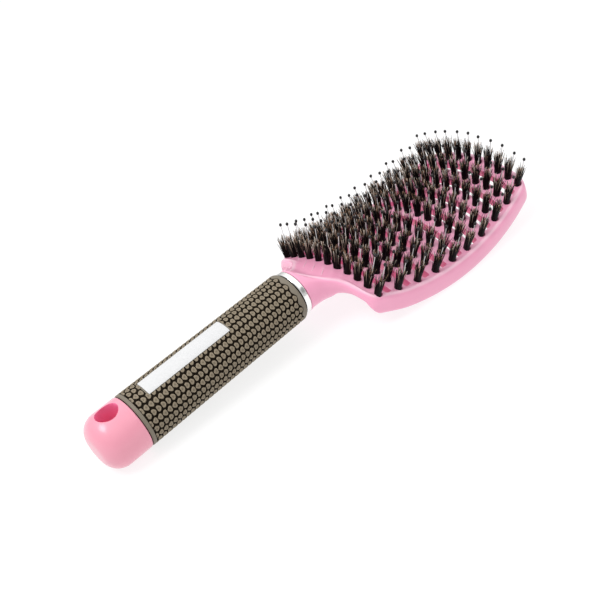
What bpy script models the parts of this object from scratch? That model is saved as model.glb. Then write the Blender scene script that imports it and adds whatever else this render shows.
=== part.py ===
"""Curved vented hair brush: pink moulded head, bristle tufts with ball-ended pins, sleeved handle.

Lengths below are in millimetres in the handle's own frame: X runs along the handle from the cap
to the head's tip and Z is the way the bristles point. The finished part is tilted onto its back.
"""

import math

import bmesh
import bpy
from mathutils import Matrix, Vector

MM = 0.001

# head: one concave arc along the length, one convex arch across the width
ROW_A_X = 135.25
ROW_A_Z = 0.69
ROW_A_SLOPE = -0.2868
PROFILE_R = 217.7
ARCH_R = 75.6
HEAD_START = -25.05
HEAD_END = 108.5
TIP_CORNER_R = 6.0
TIP_BULGE = 2.4
WALL_DROP = 8.3
RIB_DEPTH = 4.0
RIM_INSETS = (0.0, 0.8, 1.8, 3.2)
RIM_HEIGHTS = (-0.9, 0.3, 0.6, 0.0)
INNER_COLUMNS = 7

# ridge half width against distance along the face, from the neck to the last shoulder point
NECK_OUTLINE = (
    (-25.05, 2.0), (-20.7, 4.6), (-18.0, 7.1), (-14.3, 11.2), (-10.3, 15.4), (-8.4, 18.6),
    (-6.9, 22.8), (-5.6, 27.1), (-4.3, 31.0), (-2.6, 33.4), (0.0, 34.6),
)

# bristle rows
ROW_COUNT = 10
ROW_FIRST = 0.8
ROW_STEP = 11.0
ROW_STEP_GROWTH = 0.05
BACK_ROWS = 5
BACK_BOW = 1.6
FRONT_BOW = -2.4
BOW_AT = 33.0
TUFTS_PER_ROW = (11, 11, 12, 12, 12, 12, 12, 12, 11, 11)
TUFT_RADIUS = 1.6
TUFT_CENTRE = -0.35
TUFT_HEIGHT = 12.2
TUFT_LEAN_MID = 0.146
TUFT_LEAN_STEP = -0.0134
TUFT_FAN = 0.74
PIN_CENTRE = 1.1
PIN_RADIUS = 0.32
BALL_RADIUS = 0.9
BALL_HEIGHT = 14.6
BALL_EXTRA = 2.0
STRIP_TOP = -1.8
STRIP_BOTTOM = -2.6
GAP = 0.3

# vent slots
SLOT_WIDTH = 2.9
SLOT_WIDENING = 0.21
SLOT_BEFORE_ROW = 4.3
SLOT_PAST_TUFT = 0.7
SLOT_CORNER_R = 0.9

# handle
CAP_START_X = -1.0
CAP_END_X = 18.1
CAP_R = 12.8
CAP_EDGE_R = 8.0
HOLE_X = 10.4
HOLE_R = 4.9
SPIGOT_R = 6.0
SPIGOT_END_X = 33.0
GRIP_START_X = 18.4
GRIP_END_X = 108.1
GRIP_START_R = 12.6
GRIP_END_R = 12.2
GRIP_INNER_R = 9.3
CORE_R = 9.0
CORE_BORE_R = 6.3
RING_START_X = 108.4
RING_END_X = 111.4
RING_R = 11.6
NECK_START_X = 111.7
NECK_R = 11.3
TANG_START_X = 86.0
TANG_R = 6.0

# blank label let into the grip
LABEL_START_X = 27.5
LABEL_END_X = 71.3
LABEL_LOW_DEG = -9.5
LABEL_HIGH_DEG = 28.5
LABEL_IN_R = 12.05
LABEL_OUT_R = 12.65

# tilt that lets the cap and the head's back edges touch the table together
REST_TILT_DEG = -4.575
SHARP_DEG = 35.0

PINK = (0.80, 0.30, 0.42, 1.0)
TAUPE = (0.18, 0.155, 0.125, 1.0)
SILVER = (0.75, 0.75, 0.76, 1.0)
WHITE = (0.80, 0.80, 0.80, 1.0)
BROWN_BLACK = (0.025, 0.018, 0.016, 1.0)
NYLON = (0.10, 0.09, 0.09, 1.0)
CORE_GREY = (0.20, 0.20, 0.20, 1.0)


def clear_scene():
    for old in list(bpy.data.objects):
        bpy.data.objects.remove(old, do_unlink=True)


def material(name, colour, roughness, metallic=0.0):
    made = bpy.data.materials.new(name)
    made.use_nodes = True
    shader = made.node_tree.nodes["Principled BSDF"]
    shader.inputs["Base Color"].default_value = colour
    shader.inputs["Roughness"].default_value = roughness
    shader.inputs["Metallic"].default_value = metallic
    return made


def new_object(name, points, faces, paint=None):
    mesh = bpy.data.meshes.new(name)
    mesh.from_pydata([tuple(Vector(p) * MM) for p in points], [], faces)
    face_outward(mesh)
    made = bpy.data.objects.new(name, mesh)
    bpy.context.collection.objects.link(made)
    if paint:
        mesh.materials.append(paint)
    return made


def face_outward(mesh):
    work = bmesh.new()
    work.from_mesh(mesh)
    bmesh.ops.recalc_face_normals(work, faces=work.faces)
    work.to_mesh(mesh)
    work.free()


def combine(target, tool, operation):
    """Cut or join the tool into the target with an exact Boolean, then drop the tool."""
    step = target.modifiers.new(operation, "BOOLEAN")
    step.operation = operation
    step.solver = "EXACT"
    step.object = tool
    graph = bpy.context.evaluated_depsgraph_get()
    solved = bpy.data.meshes.new_from_object(target.evaluated_get(graph))
    target.modifiers.clear()
    target.data = solved
    bpy.data.objects.remove(tool, do_unlink=True)


def smoothstep(low, high, value):
    t = min(1.0, max(0.0, (value - low) / (high - low)))
    return t * t * (3.0 - 2.0 * t)


def lerp(a, b, t):
    return a + (b - a) * t


def table(pairs, value):
    """Straight-line reading of a list of (position, value) pairs."""
    if value <= pairs[0][0]:
        return pairs[0][1]
    for (x0, y0), (x1, y1) in zip(pairs, pairs[1:]):
        if value <= x1:
            return lerp(y0, y1, (value - x0) / (x1 - x0))
    return pairs[-1][1]


def slope_at(u):
    return ROW_A_SLOPE + u / PROFILE_R


def face_point(u, v, h=0.0):
    """Point on the head's face: u along the profile, v across the arch, h along the normal."""
    slope = slope_at(u)
    x = ROW_A_X + (math.sin(slope) - math.sin(ROW_A_SLOPE)) * PROFILE_R
    z = ROW_A_Z - (math.cos(slope) - math.cos(ROW_A_SLOPE)) * PROFILE_R
    up = Vector((-math.sin(slope), 0.0, math.cos(slope)))
    side = Vector((0.0, -1.0, 0.0))
    angle = v / ARCH_R
    base = Vector((x, 0.0, z)) + side * (ARCH_R * math.sin(angle)) - up * (ARCH_R * (1 - math.cos(angle)))
    return base + (up * math.cos(angle) + side * math.sin(angle)) * h


def half_width(u):
    """Half width of the head's ridge at u, rounded at the tip corners."""
    if u < NECK_OUTLINE[-1][0]:
        return table(NECK_OUTLINE, u)
    wide = 34.5 + 6.0 * (1.0 - ((u - 53.0) / 54.0) ** 2)
    into = u - (HEAD_END - TIP_CORNER_R)
    if into > 0.0:
        wide -= TIP_CORNER_R - math.sqrt(max(0.0, TIP_CORNER_R**2 - into**2))
    return wide


def row_line(index, v):
    """Where a row crosses v: the ends are evenly stepped and the middle bows away from mid-head."""
    end = ROW_FIRST + ROW_STEP * index + ROW_STEP_GROWTH * index**2
    bow = BACK_BOW if index < BACK_ROWS else FRONT_BOW
    return end + bow * ((v / BOW_AT) ** 2 - 1.0)


def row_half(index):
    """Half length of a bristle row, to the centre of its last tuft."""
    return 30.9 + 5.3 * (1.0 - ((row_line(index, BOW_AT) - 52.0) / 54.0) ** 2)


def tip_bulge(u, v):
    """How far the tip edge swells forward of a straight line across the head."""
    return TIP_BULGE * max(0.0, 1.0 - (v / BOW_AT) ** 2) * smoothstep(85.0, HEAD_END, u)


def skin_point(u, v, h=0.0):
    return face_point(u + tip_bulge(u, v), v, h)


def rim_height(depth):
    return table(tuple(zip(RIM_INSETS, RIM_HEIGHTS)), depth)


def top_columns(u):
    """Face positions across one station, from the far ridge to the near one."""
    wide = half_width(u)
    shrink = min(1.0, wide / 14.0)
    edge = [wide - inset * shrink for inset in RIM_INSETS]
    inner = edge[-1]
    span = [inner * (2.0 * k / (INNER_COLUMNS + 1) - 1.0) for k in range(1, INNER_COLUMNS + 1)]
    return [-v for v in edge] + span + edge[::-1]


def ellipse_point(x, angle, wide, tall):
    return Vector((x, -wide * math.sin(angle), tall * math.cos(angle)))


def head_station(u):
    """One closed loop round the head: the face, then the wall, skirt and underside."""
    columns = top_columns(u)
    wide = half_width(u)
    slope = slope_at(u)
    down = Vector((math.sin(slope), 0.0, -math.cos(slope)))
    side = Vector((0.0, -1.0, 0.0))
    centre_x = face_point(u, 0.0).x
    oval_wide = max(NECK_R + 0.9 * smoothstep(HEAD_START, -18.0, u), wide + 1.3)
    oval_tall = lerp(NECK_R, 11.0, smoothstep(HEAD_START, -8.0, u))
    top_blend = smoothstep(HEAD_START, -17.0, u)
    low_blend = smoothstep(-12.5, -6.0, u)
    tip_depth = HEAD_END - u
    loop = []
    for v in columns:
        depth = min(wide - abs(v), tip_depth)
        skin = skin_point(u, v, rim_height(depth))
        neck = ellipse_point(centre_x, math.asin(max(-1.0, min(1.0, v / oval_wide))), oval_wide, oval_tall)
        loop.append(neck.lerp(skin, top_blend))
    near = lower_side(u, wide, down, side, 1.0, tip_depth)
    far = lower_side(u, wide, down, side, -1.0, tip_depth)
    under = [underside_point(u, v, down, tip_depth) for v in reversed(columns[4:-4])]
    lower = near + under + far[::-1]
    start = math.asin(min(1.0, wide / oval_wide))
    count = len(lower)
    for k, shaped in enumerate(lower):
        angle = lerp(start, 2.0 * math.pi - start, (k + 1) / (count + 1))
        loop.append(ellipse_point(centre_x, angle, oval_wide, oval_tall).lerp(shaped, low_blend))
    return loop


def lower_side(u, wide, down, side, sign, tip_depth):
    """Wall and skirt points on one side, from the ridge down and inward."""
    ridge = skin_point(u, wide * sign)
    out = side * sign
    drop = wall_drop(u)
    inner = max(0.4 * wide, wide - 4.2)
    return [
        ridge + down * (drop * 0.35) + out * 0.7,
        ridge + down * (drop * 0.75) + out * 0.5,
        ridge + down * drop - out * 0.8,
        ridge + down * drop - out * 2.8,
        underside_point(u, inner * sign, down, tip_depth),
    ]


def wall_drop(u):
    """Height of the side wall, shallower along the shoulders' neck side."""
    return WALL_DROP * lerp(0.5, 1.0, smoothstep(-5.4, -0.8, u))


def underside_point(u, v, down, tip_depth):
    skirt = skin_point(u, v) + down * WALL_DROP
    rib = skin_point(u, v, -max(RIB_DEPTH * lerp(0.75, 1.0, smoothstep(-8.0, 0.0, u)), belly_depth(u, v)))
    return rib.lerp(skirt, 1.0 - smoothstep(2.8, 4.2, tip_depth))


def belly_depth(u, v):
    """How far the neck's round underside still runs on below the first rows."""
    across = min(1.0, abs(v) / 13.0)
    round_part = face_point(u, 0.0).z + 11.0 * math.sqrt(1.0 - across**2)
    return round_part * (1.0 - smoothstep(-6.0, 20.0, u))


def head_positions():
    neck = [HEAD_START, -21.5, -18.0, -15.0, -12.4, -10.3, -8.9, -8.0, -7.3, -6.6]
    shoulder = [-5.8, -4.8, -3.3, -1.5, 1.0]
    body = [5.0 + 9.6 * k for k in range(10)]
    tip = [HEAD_END - d for d in (6.5, 4.4, 3.2, 1.8, 0.8, 0.0)]
    return neck + shoulder + body + tip


def loft(name, loops, paint=None):
    """Closed skin through equal-length loops, with a flat face at each end."""
    count = len(loops[0])
    points = [p for loop in loops for p in loop]
    faces = []
    for s in range(len(loops) - 1):
        for k in range(count):
            a = s * count + k
            b = s * count + (k + 1) % count
            faces.append((a, b, b + count, a + count))
    faces.append(tuple(reversed(range(count))))
    faces.append(tuple(range((len(loops) - 1) * count, len(loops) * count)))
    return new_object(name, points, faces, paint)


def ring_loop(x, radius, segments):
    turn = 2.0 * math.pi / segments
    return [Vector((x, -radius * math.sin(turn * k), radius * math.cos(turn * k))) for k in range(segments)]


def turned(name, profile, segments, paint=None):
    """Solid of revolution about X from (x, radius) pairs."""
    return loft(name, [ring_loop(x, r, segments) for x, r in profile], paint)


def sleeve(name, outer, bore, start, end, segments, paint=None):
    """Hollow tube: outer skin loops joined to a plain bore."""
    loops = outer + [ring_loop(end, bore, segments), ring_loop(start, bore, segments)]
    points = [p for loop in loops for p in loop]
    faces = []
    total = len(loops)
    for s in range(total):
        for k in range(segments):
            a = s * segments + k
            b = s * segments + (k + 1) % segments
            c = ((s + 1) % total) * segments
            faces.append((a, b, c + (k + 1) % segments, c + k))
    return new_object(name, points, faces, paint)


def slot_tool(index):
    """Slot with rounded corners between two rows, following their bow and the arch right through."""
    half_wide = (SLOT_WIDTH + SLOT_WIDENING * index) / 2.0
    reach = (row_half(index) + row_half(index + 1)) / 2.0 + SLOT_PAST_TUFT
    straight = reach - SLOT_CORNER_R
    half = [(straight * k / 4.0, half_wide) for k in range(5)]
    half += [(reach - 0.3 * SLOT_CORNER_R, half_wide - 0.3 * SLOT_CORNER_R), (reach, half_wide - SLOT_CORNER_R)]
    stations = [(-v, wide) for v, wide in reversed(half[1:])] + half
    loops = []
    for v, wide in stations:
        u_mid = row_line(index + 1, v) - SLOT_BEFORE_ROW - half_wide
        corners = ((u_mid - wide, -16.0), (u_mid + wide, -16.0), (u_mid + wide, 3.0), (u_mid - wide, 3.0))
        loops.append([face_point(u, v, h) for u, h in corners])
    return loft("slot_tool", loops)


def row_lean(index):
    return TUFT_LEAN_MID + TUFT_LEAN_STEP * (index - 4.5)


def row_point(index, v, p, q):
    """Point in a row's own grid: p along the handle, q along the bristles."""
    lean = row_lean(index)
    fan = TUFT_FAN * v / ARCH_R
    along = Vector((math.cos(lean), 0.0, -math.sin(lean)))
    rise = Vector((math.sin(lean) * math.cos(fan), -math.sin(fan), math.cos(lean) * math.cos(fan)))
    return face_point(row_line(index, v), v) + along * p + rise * q


def tuft_positions(index):
    reach = row_half(index)
    count = TUFTS_PER_ROW[index]
    return [reach * (2.0 * k / (count - 1) - 1.0) for k in range(count)]


def strip(name, index, p_range, q_range, past, paint=None):
    """Bar under the face that follows the arch and carries one row."""
    reach = row_half(index) + past
    loops = []
    for k in range(8):
        v = reach * (k / 3.5 - 1.0)
        corners = ((p_range[0], q_range[0]), (p_range[1], q_range[0]),
                   (p_range[1], q_range[1]), (p_range[0], q_range[1]))
        loops.append([row_point(index, v, p, q) for p, q in corners])
    return loft(name, loops, paint)


def upright(index, v, outline, heights):
    """Loops of a post standing at v: outline (p, side) pairs scaled at each height."""
    across = row_point(index, v + 0.5, 0.0, 0.0) - row_point(index, v - 0.5, 0.0, 0.0)
    loops = []
    for q, grow in heights:
        loops.append([row_point(index, v, p * grow[0] + grow[1], q) + across * (s * grow[0]) for p, s in outline])
    return loops


def many(name, stacks):
    """One mesh holding several separate closed posts."""
    points = []
    faces = []
    for loops in stacks:
        base = len(points)
        count = len(loops[0])
        points.extend(p for loop in loops for p in loop)
        for s in range(len(loops) - 1):
            for k in range(count):
                a = base + s * count + k
                b = base + s * count + (k + 1) % count
                faces.append((a, b, b + count, a + count))
        faces.append(tuple(base + k for k in reversed(range(count))))
        last = base + (len(loops) - 1) * count
        faces.append(tuple(range(last, last + count)))
    return new_object(name, points, faces)


def tuft_outline():
    angles = [math.radians(60.0 + 60.0 * k) for k in range(5)]
    return [(TUFT_RADIUS * math.cos(a), TUFT_RADIUS * math.sin(a)) for a in angles]


def round_outline(radius_p, radius_s, sides):
    turn = 2.0 * math.pi / sides
    return [(radius_p * math.cos(turn * (k + 0.5)), radius_s * math.sin(turn * (k + 0.5))) for k in range(sides)]


def build_tuft_row(index, paint):
    name = "tuft_row_%02d" % (index + 1)
    row = strip(name, index, (-1.6, 0.45), (STRIP_BOTTOM, STRIP_TOP), 2.0, paint)
    heights = ((-2.2, (1.0, TUFT_CENTRE)), (TUFT_HEIGHT, (1.15, TUFT_CENTRE - 0.1)))
    posts = [upright(index, v, tuft_outline(), heights) for v in tuft_positions(index)]
    combine(row, many("posts", posts), "UNION")
    return row


def build_pin_row(index, paint):
    name = "pin_row_%02d" % (index + 1)
    row = strip(name, index, (0.78, 1.75), (STRIP_BOTTOM, STRIP_TOP), 2.0, paint)
    ball = BALL_HEIGHT + BALL_EXTRA * math.exp(-index)
    heights = ((-2.2, (1.0, PIN_CENTRE)), (ball - BALL_RADIUS, (1.0, PIN_CENTRE)),
               (ball, (2.8, PIN_CENTRE)), (ball + BALL_RADIUS, (1.2, PIN_CENTRE)))
    outline = round_outline(PIN_RADIUS, PIN_RADIUS, 4)
    posts = [upright(index, v, outline, heights) for v in tuft_positions(index)]
    combine(row, many("posts", posts), "UNION")
    return row


def row_cavity(index):
    """Room for one row: a channel under the face and a mouth at every tuft."""
    cavity = strip("cavity", index, (-1.6 - GAP, 1.75 + GAP), (STRIP_BOTTOM - GAP, STRIP_TOP + GAP), 2.0 + GAP)
    mouth = round_outline(2.3, 2.2, 6)
    posts = [upright(index, v, mouth, ((-2.2, (1.0, -0.25)), (3.0, (1.0, -0.25)))) for v in tuft_positions(index)]
    combine(cavity, many("mouths", posts), "UNION")
    return cavity


def build_head(paint):
    head = loft("head_frame", [head_station(u) for u in head_positions()], paint)
    tang = turned("tang", ((TANG_START_X, TANG_R - 0.8), (TANG_START_X + 0.8, TANG_R), (NECK_START_X + 2.0, TANG_R)), 24)
    combine(head, tang, "UNION")
    for index in range(ROW_COUNT - 1):
        combine(head, slot_tool(index), "DIFFERENCE")
    for index in range(ROW_COUNT):
        combine(head, row_cavity(index), "DIFFERENCE")
    return head


def build_core(paint):
    outer = [ring_loop(GRIP_START_X, CORE_R, 24), ring_loop(GRIP_END_X, CORE_R, 24)]
    return sleeve("handle_core", outer, CORE_BORE_R, GRIP_START_X, GRIP_END_X, 24, paint)


def grip_radius(x):
    return lerp(GRIP_START_R, GRIP_END_R, (x - GRIP_START_X) / (GRIP_END_X - GRIP_START_X))


def bumped_loop(x, step, segments):
    """Loop whose alternate points stand up as the grip's bumps."""
    turn = 2.0 * math.pi / segments
    loop = []
    for k in range(segments):
        radius = grip_radius(x) + (0.15 if (k + step) % 2 else -0.35)
        loop.append(Vector((x, -radius * math.sin(turn * k), radius * math.cos(turn * k))))
    return loop


def build_grip(paint):
    sides = 32
    start = GRIP_START_X
    end = GRIP_END_X
    outer = [ring_loop(start, grip_radius(start) - 0.4, sides), ring_loop(start + 0.4, grip_radius(start) + 0.1, sides),
             ring_loop(start + 2.6, grip_radius(start) + 0.1, sides)]
    rows = 27
    for step in range(rows):
        x = lerp(start + 4.4, end - 7.2, step / (rows - 1))
        outer.append(bumped_loop(x, step, sides))
    outer += [ring_loop(end - 5.4, grip_radius(end) + 0.1, sides), ring_loop(end - 1.6, grip_radius(end), sides),
              ring_loop(end - 0.5, grip_radius(end) - 0.4, sides), ring_loop(end, grip_radius(end) - 1.2, sides)]
    grip = sleeve("grip_sleeve", outer, GRIP_INNER_R, start, end, sides, paint)
    recess = arc_plate("recess", LABEL_START_X - GAP, LABEL_END_X + GAP, LABEL_LOW_DEG - 1.4, LABEL_HIGH_DEG + 1.4,
                       LABEL_IN_R - GAP, LABEL_OUT_R + 3.0)
    combine(grip, recess, "DIFFERENCE")
    return grip


def arc_plate(name, start, end, low, high, inner, outer, paint=None):
    """Part of a cylinder wall between two angles measured from +Z towards -Y."""
    steps = 8
    angles = [math.radians(lerp(low, high, k / steps)) for k in range(steps + 1)]
    section = [(outer, a) for a in angles] + [(inner, a) for a in reversed(angles)]
    loops = []
    for x in (start, end):
        loops.append([Vector((x, -r * math.sin(a), r * math.cos(a))) for r, a in section])
    return loft(name, loops, paint)


def build_label(paint):
    return arc_plate("label_plate", LABEL_START_X, LABEL_END_X, LABEL_LOW_DEG, LABEL_HIGH_DEG,
                     LABEL_IN_R, LABEL_OUT_R, paint)


def build_neck_ring(paint):
    sides = 36
    outer = [ring_loop(RING_START_X, RING_R - 0.5, sides), ring_loop(RING_START_X + 0.5, RING_R, sides),
             ring_loop(RING_END_X - 0.5, RING_R, sides), ring_loop(RING_END_X, RING_R - 0.4, sides)]
    return sleeve("neck_ring", outer, TANG_R + GAP, RING_START_X, RING_END_X, sides, paint)


def build_end_cap(paint):
    profile = []
    for k in range(7):
        turn = math.pi / 2.0 * k / 6.0
        profile.append((CAP_START_X + CAP_EDGE_R * (1.0 - math.cos(turn)), CAP_R - CAP_EDGE_R * (1.0 - math.sin(turn))))
    profile += [(CAP_END_X - 0.4, CAP_R), (CAP_END_X, CAP_R - 0.4), (CAP_END_X, SPIGOT_R),
                (SPIGOT_END_X - 0.8, SPIGOT_R), (SPIGOT_END_X, SPIGOT_R - 0.8)]
    cap = turned("end_cap", profile, 28, paint)
    combine(cap, hole_tool(), "DIFFERENCE")
    return cap


def hole_tool():
    """Hanging hole through the cap, opened out a little at both mouths."""
    sizes = ((-14.0, HOLE_R + 2.6), (-11.4, HOLE_R), (11.4, HOLE_R), (14.0, HOLE_R + 2.6))
    loops = []
    for z, radius in sizes:
        turn = 2.0 * math.pi / 20
        loops.append([Vector((HOLE_X + radius * math.cos(turn * k), radius * math.sin(turn * k), z)) for k in range(20)])
    return loft("hole_tool", loops)


def lay_down(parts):
    """Hang every part on one empty, tilted onto the brush's back with its box centred over the origin."""
    frame = bpy.data.objects.new("brush", None)
    bpy.context.collection.objects.link(frame)
    tilt = Matrix.Rotation(math.radians(REST_TILT_DEG), 3, "Y")
    corners = [tilt @ vertex.co for part in parts for vertex in part.data.vertices]
    low = [min(c[axis] for c in corners) for axis in range(3)]
    high = [max(c[axis] for c in corners) for axis in range(3)]
    frame.rotation_euler = (0.0, math.radians(REST_TILT_DEG), 0.0)
    frame.location = (-(low[0] + high[0]) / 2.0, -(low[1] + high[1]) / 2.0, -low[2])
    for part in parts:
        part.parent = frame
        part.data.shade_smooth()
        part.data.set_sharp_from_angle(angle=math.radians(SHARP_DEG))


def main():
    clear_scene()
    pink = material("pink_abs", PINK, 0.25)
    parts = [build_head(pink), build_end_cap(pink)]
    parts.append(build_core(material("core_plastic", CORE_GREY, 0.5)))
    parts.append(build_grip(material("taupe_rubber", TAUPE, 0.6)))
    parts.append(build_neck_ring(material("silver_ring", SILVER, 0.15, 1.0)))
    parts.append(build_label(material("white_label", WHITE, 0.5)))
    bristle = material("bristle", BROWN_BLACK, 0.5)
    nylon = material("nylon", NYLON, 0.3)
    for index in range(ROW_COUNT):
        parts.append(build_tuft_row(index, bristle))
        parts.append(build_pin_row(index, nylon))
    lay_down(parts)


main()
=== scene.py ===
"""Looks of the vented hair brush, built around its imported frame.

Lengths are in millimetres in the handle's own frame, as in the CAD source: X runs along the
handle from the cap to the head's tip and Z is the way the bristles point. PLACE takes them to
the row frame, where the brush lies on its back.
"""

import math
import random

import bmesh
import bpy
import numpy as np
from mathutils import Matrix, Vector


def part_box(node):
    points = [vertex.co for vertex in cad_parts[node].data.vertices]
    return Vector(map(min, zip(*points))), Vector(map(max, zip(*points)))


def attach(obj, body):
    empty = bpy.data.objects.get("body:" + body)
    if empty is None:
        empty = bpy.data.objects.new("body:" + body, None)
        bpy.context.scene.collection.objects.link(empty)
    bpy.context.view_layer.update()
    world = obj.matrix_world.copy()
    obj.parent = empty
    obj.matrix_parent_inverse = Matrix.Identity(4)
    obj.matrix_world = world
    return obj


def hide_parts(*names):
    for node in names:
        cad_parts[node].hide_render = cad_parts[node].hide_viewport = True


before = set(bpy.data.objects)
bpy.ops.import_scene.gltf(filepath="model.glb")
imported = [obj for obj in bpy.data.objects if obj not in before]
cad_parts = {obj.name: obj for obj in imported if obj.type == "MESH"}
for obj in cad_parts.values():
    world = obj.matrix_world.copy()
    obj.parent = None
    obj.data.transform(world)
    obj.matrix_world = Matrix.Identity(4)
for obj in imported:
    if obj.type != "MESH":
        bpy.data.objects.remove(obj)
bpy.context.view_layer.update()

MM = 0.001
SEED = 427

# head: u runs along its profile from just behind the first row, v across its arch
ROW_A_X = 135.25
ROW_A_Z = 0.69
ROW_A_SLOPE = -0.2868
PROFILE_R = 217.7
ARCH_R = 75.6
HEAD_START = -25.05
HEAD_END = 108.45
HEAD_MID = 53.0
HEAD_HALF_LENGTH = 54.0
HEAD_HALF_WIDTH = 34.5
HEAD_SWELL = 6.0
TIP_CORNER_R = 6.0
TIP_BULGE = 2.4
# depths in from the tip's edge over which the full wall gives way to the ribs
TIP_SKIRT = (2.8, 4.2)
WALL_DROP = 8.22
WALL_THICKNESS = 4.2
RIB_DEPTH = 4.0
SHOULDER_TUCK = 1.1
SHOULDER_TUCK_END = 16.0
LOBE_START = -4.8
LOBE_LENGTH = 6.0
LOBE_DROP_SHARE = 0.45
EDGE_ROUND_DROP = 0.3
EDGE_ROUND_WIDTH = 1.1
RIM_RAISE = 0.42
FACE_COLUMNS = 25
LINE_RAISE = 0.02
LINE_HALF_WIDTH = 0.24
LINE_HEIGHT = 0.16
LINE_PITCH = 6.1
NECK_PASSES = 30
NECK_SMOOTHING = 0.5
NECK_SWELL = 0.9
NECK_MARGIN = 1.3
NECK_HALF_HEIGHT = 11.0
NECK_BELLY_HALF_WIDTH = 13.0
# the neck's and shoulders' outline, as (u, half width)
NECK_OUTLINE = (
    (-25.05, 2.0), (-20.7, 4.6), (-18.0, 7.1), (-14.3, 11.2), (-10.3, 15.4), (-8.4, 18.6),
    (-6.9, 22.6), (-5.6, 26.7), (-4.3, 30.2), (-2.6, 32.5), (0.0, 33.6),
)
OUTLINE_END_SLOPE = 0.35

# insets of the face's outer columns from the head's edge
RIM_STEPS = (0.0, 0.12, 0.3, 0.55, 0.85, 1.2, 1.6, 2.0, 2.5, 3.1, 3.9)

# the edge wall from the ridge down, as (share of its drop, push outwards)
WALL_STEPS = (
    (0.1, 0.35), (0.22, 0.6), (0.4, 0.72), (0.6, 0.68), (0.78, 0.46), (0.9, 0.12), (0.97, -0.35),
    (1.0, -0.9), (1.0, -2.8),
)

# short raised lines on the margin behind the first row, one to a gap between tufts
MARGIN_LINES = tuple(
    ((-12.6, LINE_PITCH * k - 10.8), (-4.7, LINE_PITCH * k - 16.7)) for k in range(4)
)

# bristle rows
ROW_COUNT = 10
ROW_FIRST = 0.8
ROW_STEP = 11.0
ROW_STEP_GROWTH = 0.05
BACK_ROWS = 5
BACK_BOW = 1.6
FRONT_BOW = -2.4
BOW_AT = 33.0
ROW_HALF_WIDTH = 30.9
ROW_SWELL = 5.3
ROW_MID = 52.0
TUFTS_PER_ROW = (11, 11, 12, 12, 12, 12, 12, 12, 11, 11)
TUFT_HEIGHT = 12.2
TUFT_LEAN_MID = 0.146
TUFT_LEAN_STEP = -0.0134
TUFT_FAN = 0.74
TUFT_CENTRE = -0.35
TUFT_RADIUS = 1.55
BRISTLES_PER_TUFT = 72
BRISTLE_ROOT_R = 0.19
BRISTLE_TIP_R = 0.085
BRISTLE_SIDES = 3
BRISTLE_SIDE_TURN = 2.0944
BRISTLE_WILDNESS = 0.3
BRISTLE_LEAST_SPLAY = 0.5
# a bristle's length is drawn from either range, as a share of the tuft's height
BRISTLE_SHORT = (0.62, 0.86)
BRISTLE_LONG = (0.78, 0.98)
# heights along a bristle at which its line is set, as shares of its length
BRISTLE_STATIONS = (0.0, 0.3, 0.55, 0.8, 1.0)
# the dark middle of a tuft and the hole it stands in, as (height, radius)
TUFT_CORE = ((-1.9, 1.6), (0.12, 1.6), (3.0, 1.5), (5.5, 1.35), (7.5, 0.6))
TUFT_HOLE = ((-2.0, 1.8), (-0.25, 1.82), (0.02, 1.9), (1.0, 2.2))
TUFT_HOLE_CENTRE = 0.05
PIN_CENTRE = 1.1
PIN_RADIUS = 0.23
BALL_RADIUS = 0.76
BALL_HEIGHT = 14.6
BALL_EXTRA = 2.0
PIN_SWAY = 0.35
END_PIN_LEAN = 0.3
END_SPLAY = 1.15
SLOT_WIDTH = 2.9
SLOT_WIDENING = 0.21
SLOT_BEFORE_ROW = 4.3
SLOT_PAST_TUFT = 0.7
SLOT_CORNER_R = 0.9
# a slot's sides from below the ribs to above the face, as (widening, height)
SLOT_MOUTH = ((0.0, -16.0), (0.0, -0.4), (0.08, -0.16), (0.28, 0.03), (0.45, 3.0))

# handle
CAP_START_X = -0.97
CAP_END_X = 18.1
CAP_R = 12.75
CAP_EDGE_R = 8.0
CAP_SIDES = 72
HOLE_X = 10.4
HOLE_R = 4.9
HOLE_SIDES = 48
# how far the hole flares at each height above and below the handle's axis, as (height, flare)
HOLE_TOP = ((14.0, 1.2), (12.6, 0.3), (12.2, 0.12), (11.8, 0.03), (10.0, 0.0))
HOLE_UNDER = ((14.0, 2.6), (12.7, 1.5), (12.2, 1.0), (11.7, 0.45), (11.1, 0.1), (10.0, 0.0))
SPIGOT_R = 6.0
SPIGOT_END_X = 33.0
GRIP_START_X = 18.4
GRIP_END_X = 108.1
GRIP_START_R = 12.6
GRIP_END_R = 12.2
GRIP_INNER_R = 9.3
GRIP_SIDES = 288
GRIP_END_ROUND = 1.4
GRIP_START_ROUND = 0.5
GROUND_DEPTH = 0.6
COLLAR_RAISE = 0.12
RING_START_X = 108.4
RING_END_X = 111.4
RING_R = 11.6
RING_BORE_R = 6.3
RING_SIDES = 120
# the ring's rounded edge, as (distance in, drop)
RING_EDGE = ((0.0, 0.55), (0.08, 0.3), (0.2, 0.12), (0.4, 0.02), (0.7, 0.0))
NECK_START_X = 111.7
NECK_R = 11.3
TANG_R = 6.0
TANG_START_X = 86.0
LABEL_START_X = 27.5
LABEL_END_X = 71.3
LABEL_LOW_DEG = -12.0
LABEL_HIGH_DEG = 28.5
LABEL_IN_R = 12.05
LABEL_OUT_R = 12.65
LABEL_CORNER_R = 0.3
LABEL_EDGE_DROP = 0.12

# grip pads and their collars
PAD_PITCH_X = 2.5
PAD_PITCH_DEG = 15.0
PAD_FIRST_X = 21.7
PAD_LAST_X = 104.2
PAD_HALF_LENGTH = 1.03
PAD_HALF_WIDTH = 1.3
CAP_COLLAR_END = 20.25
SCALLOP_DEPTH = 0.58
SEAM_SIDES_DEG = (88.0, 268.0)
SEAM_SHARE = 0.7
# the plain frame round the label, along the handle in millimetres and round it in degrees
FRAME = 0.3
FRAME_DEG = 1.0
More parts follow.
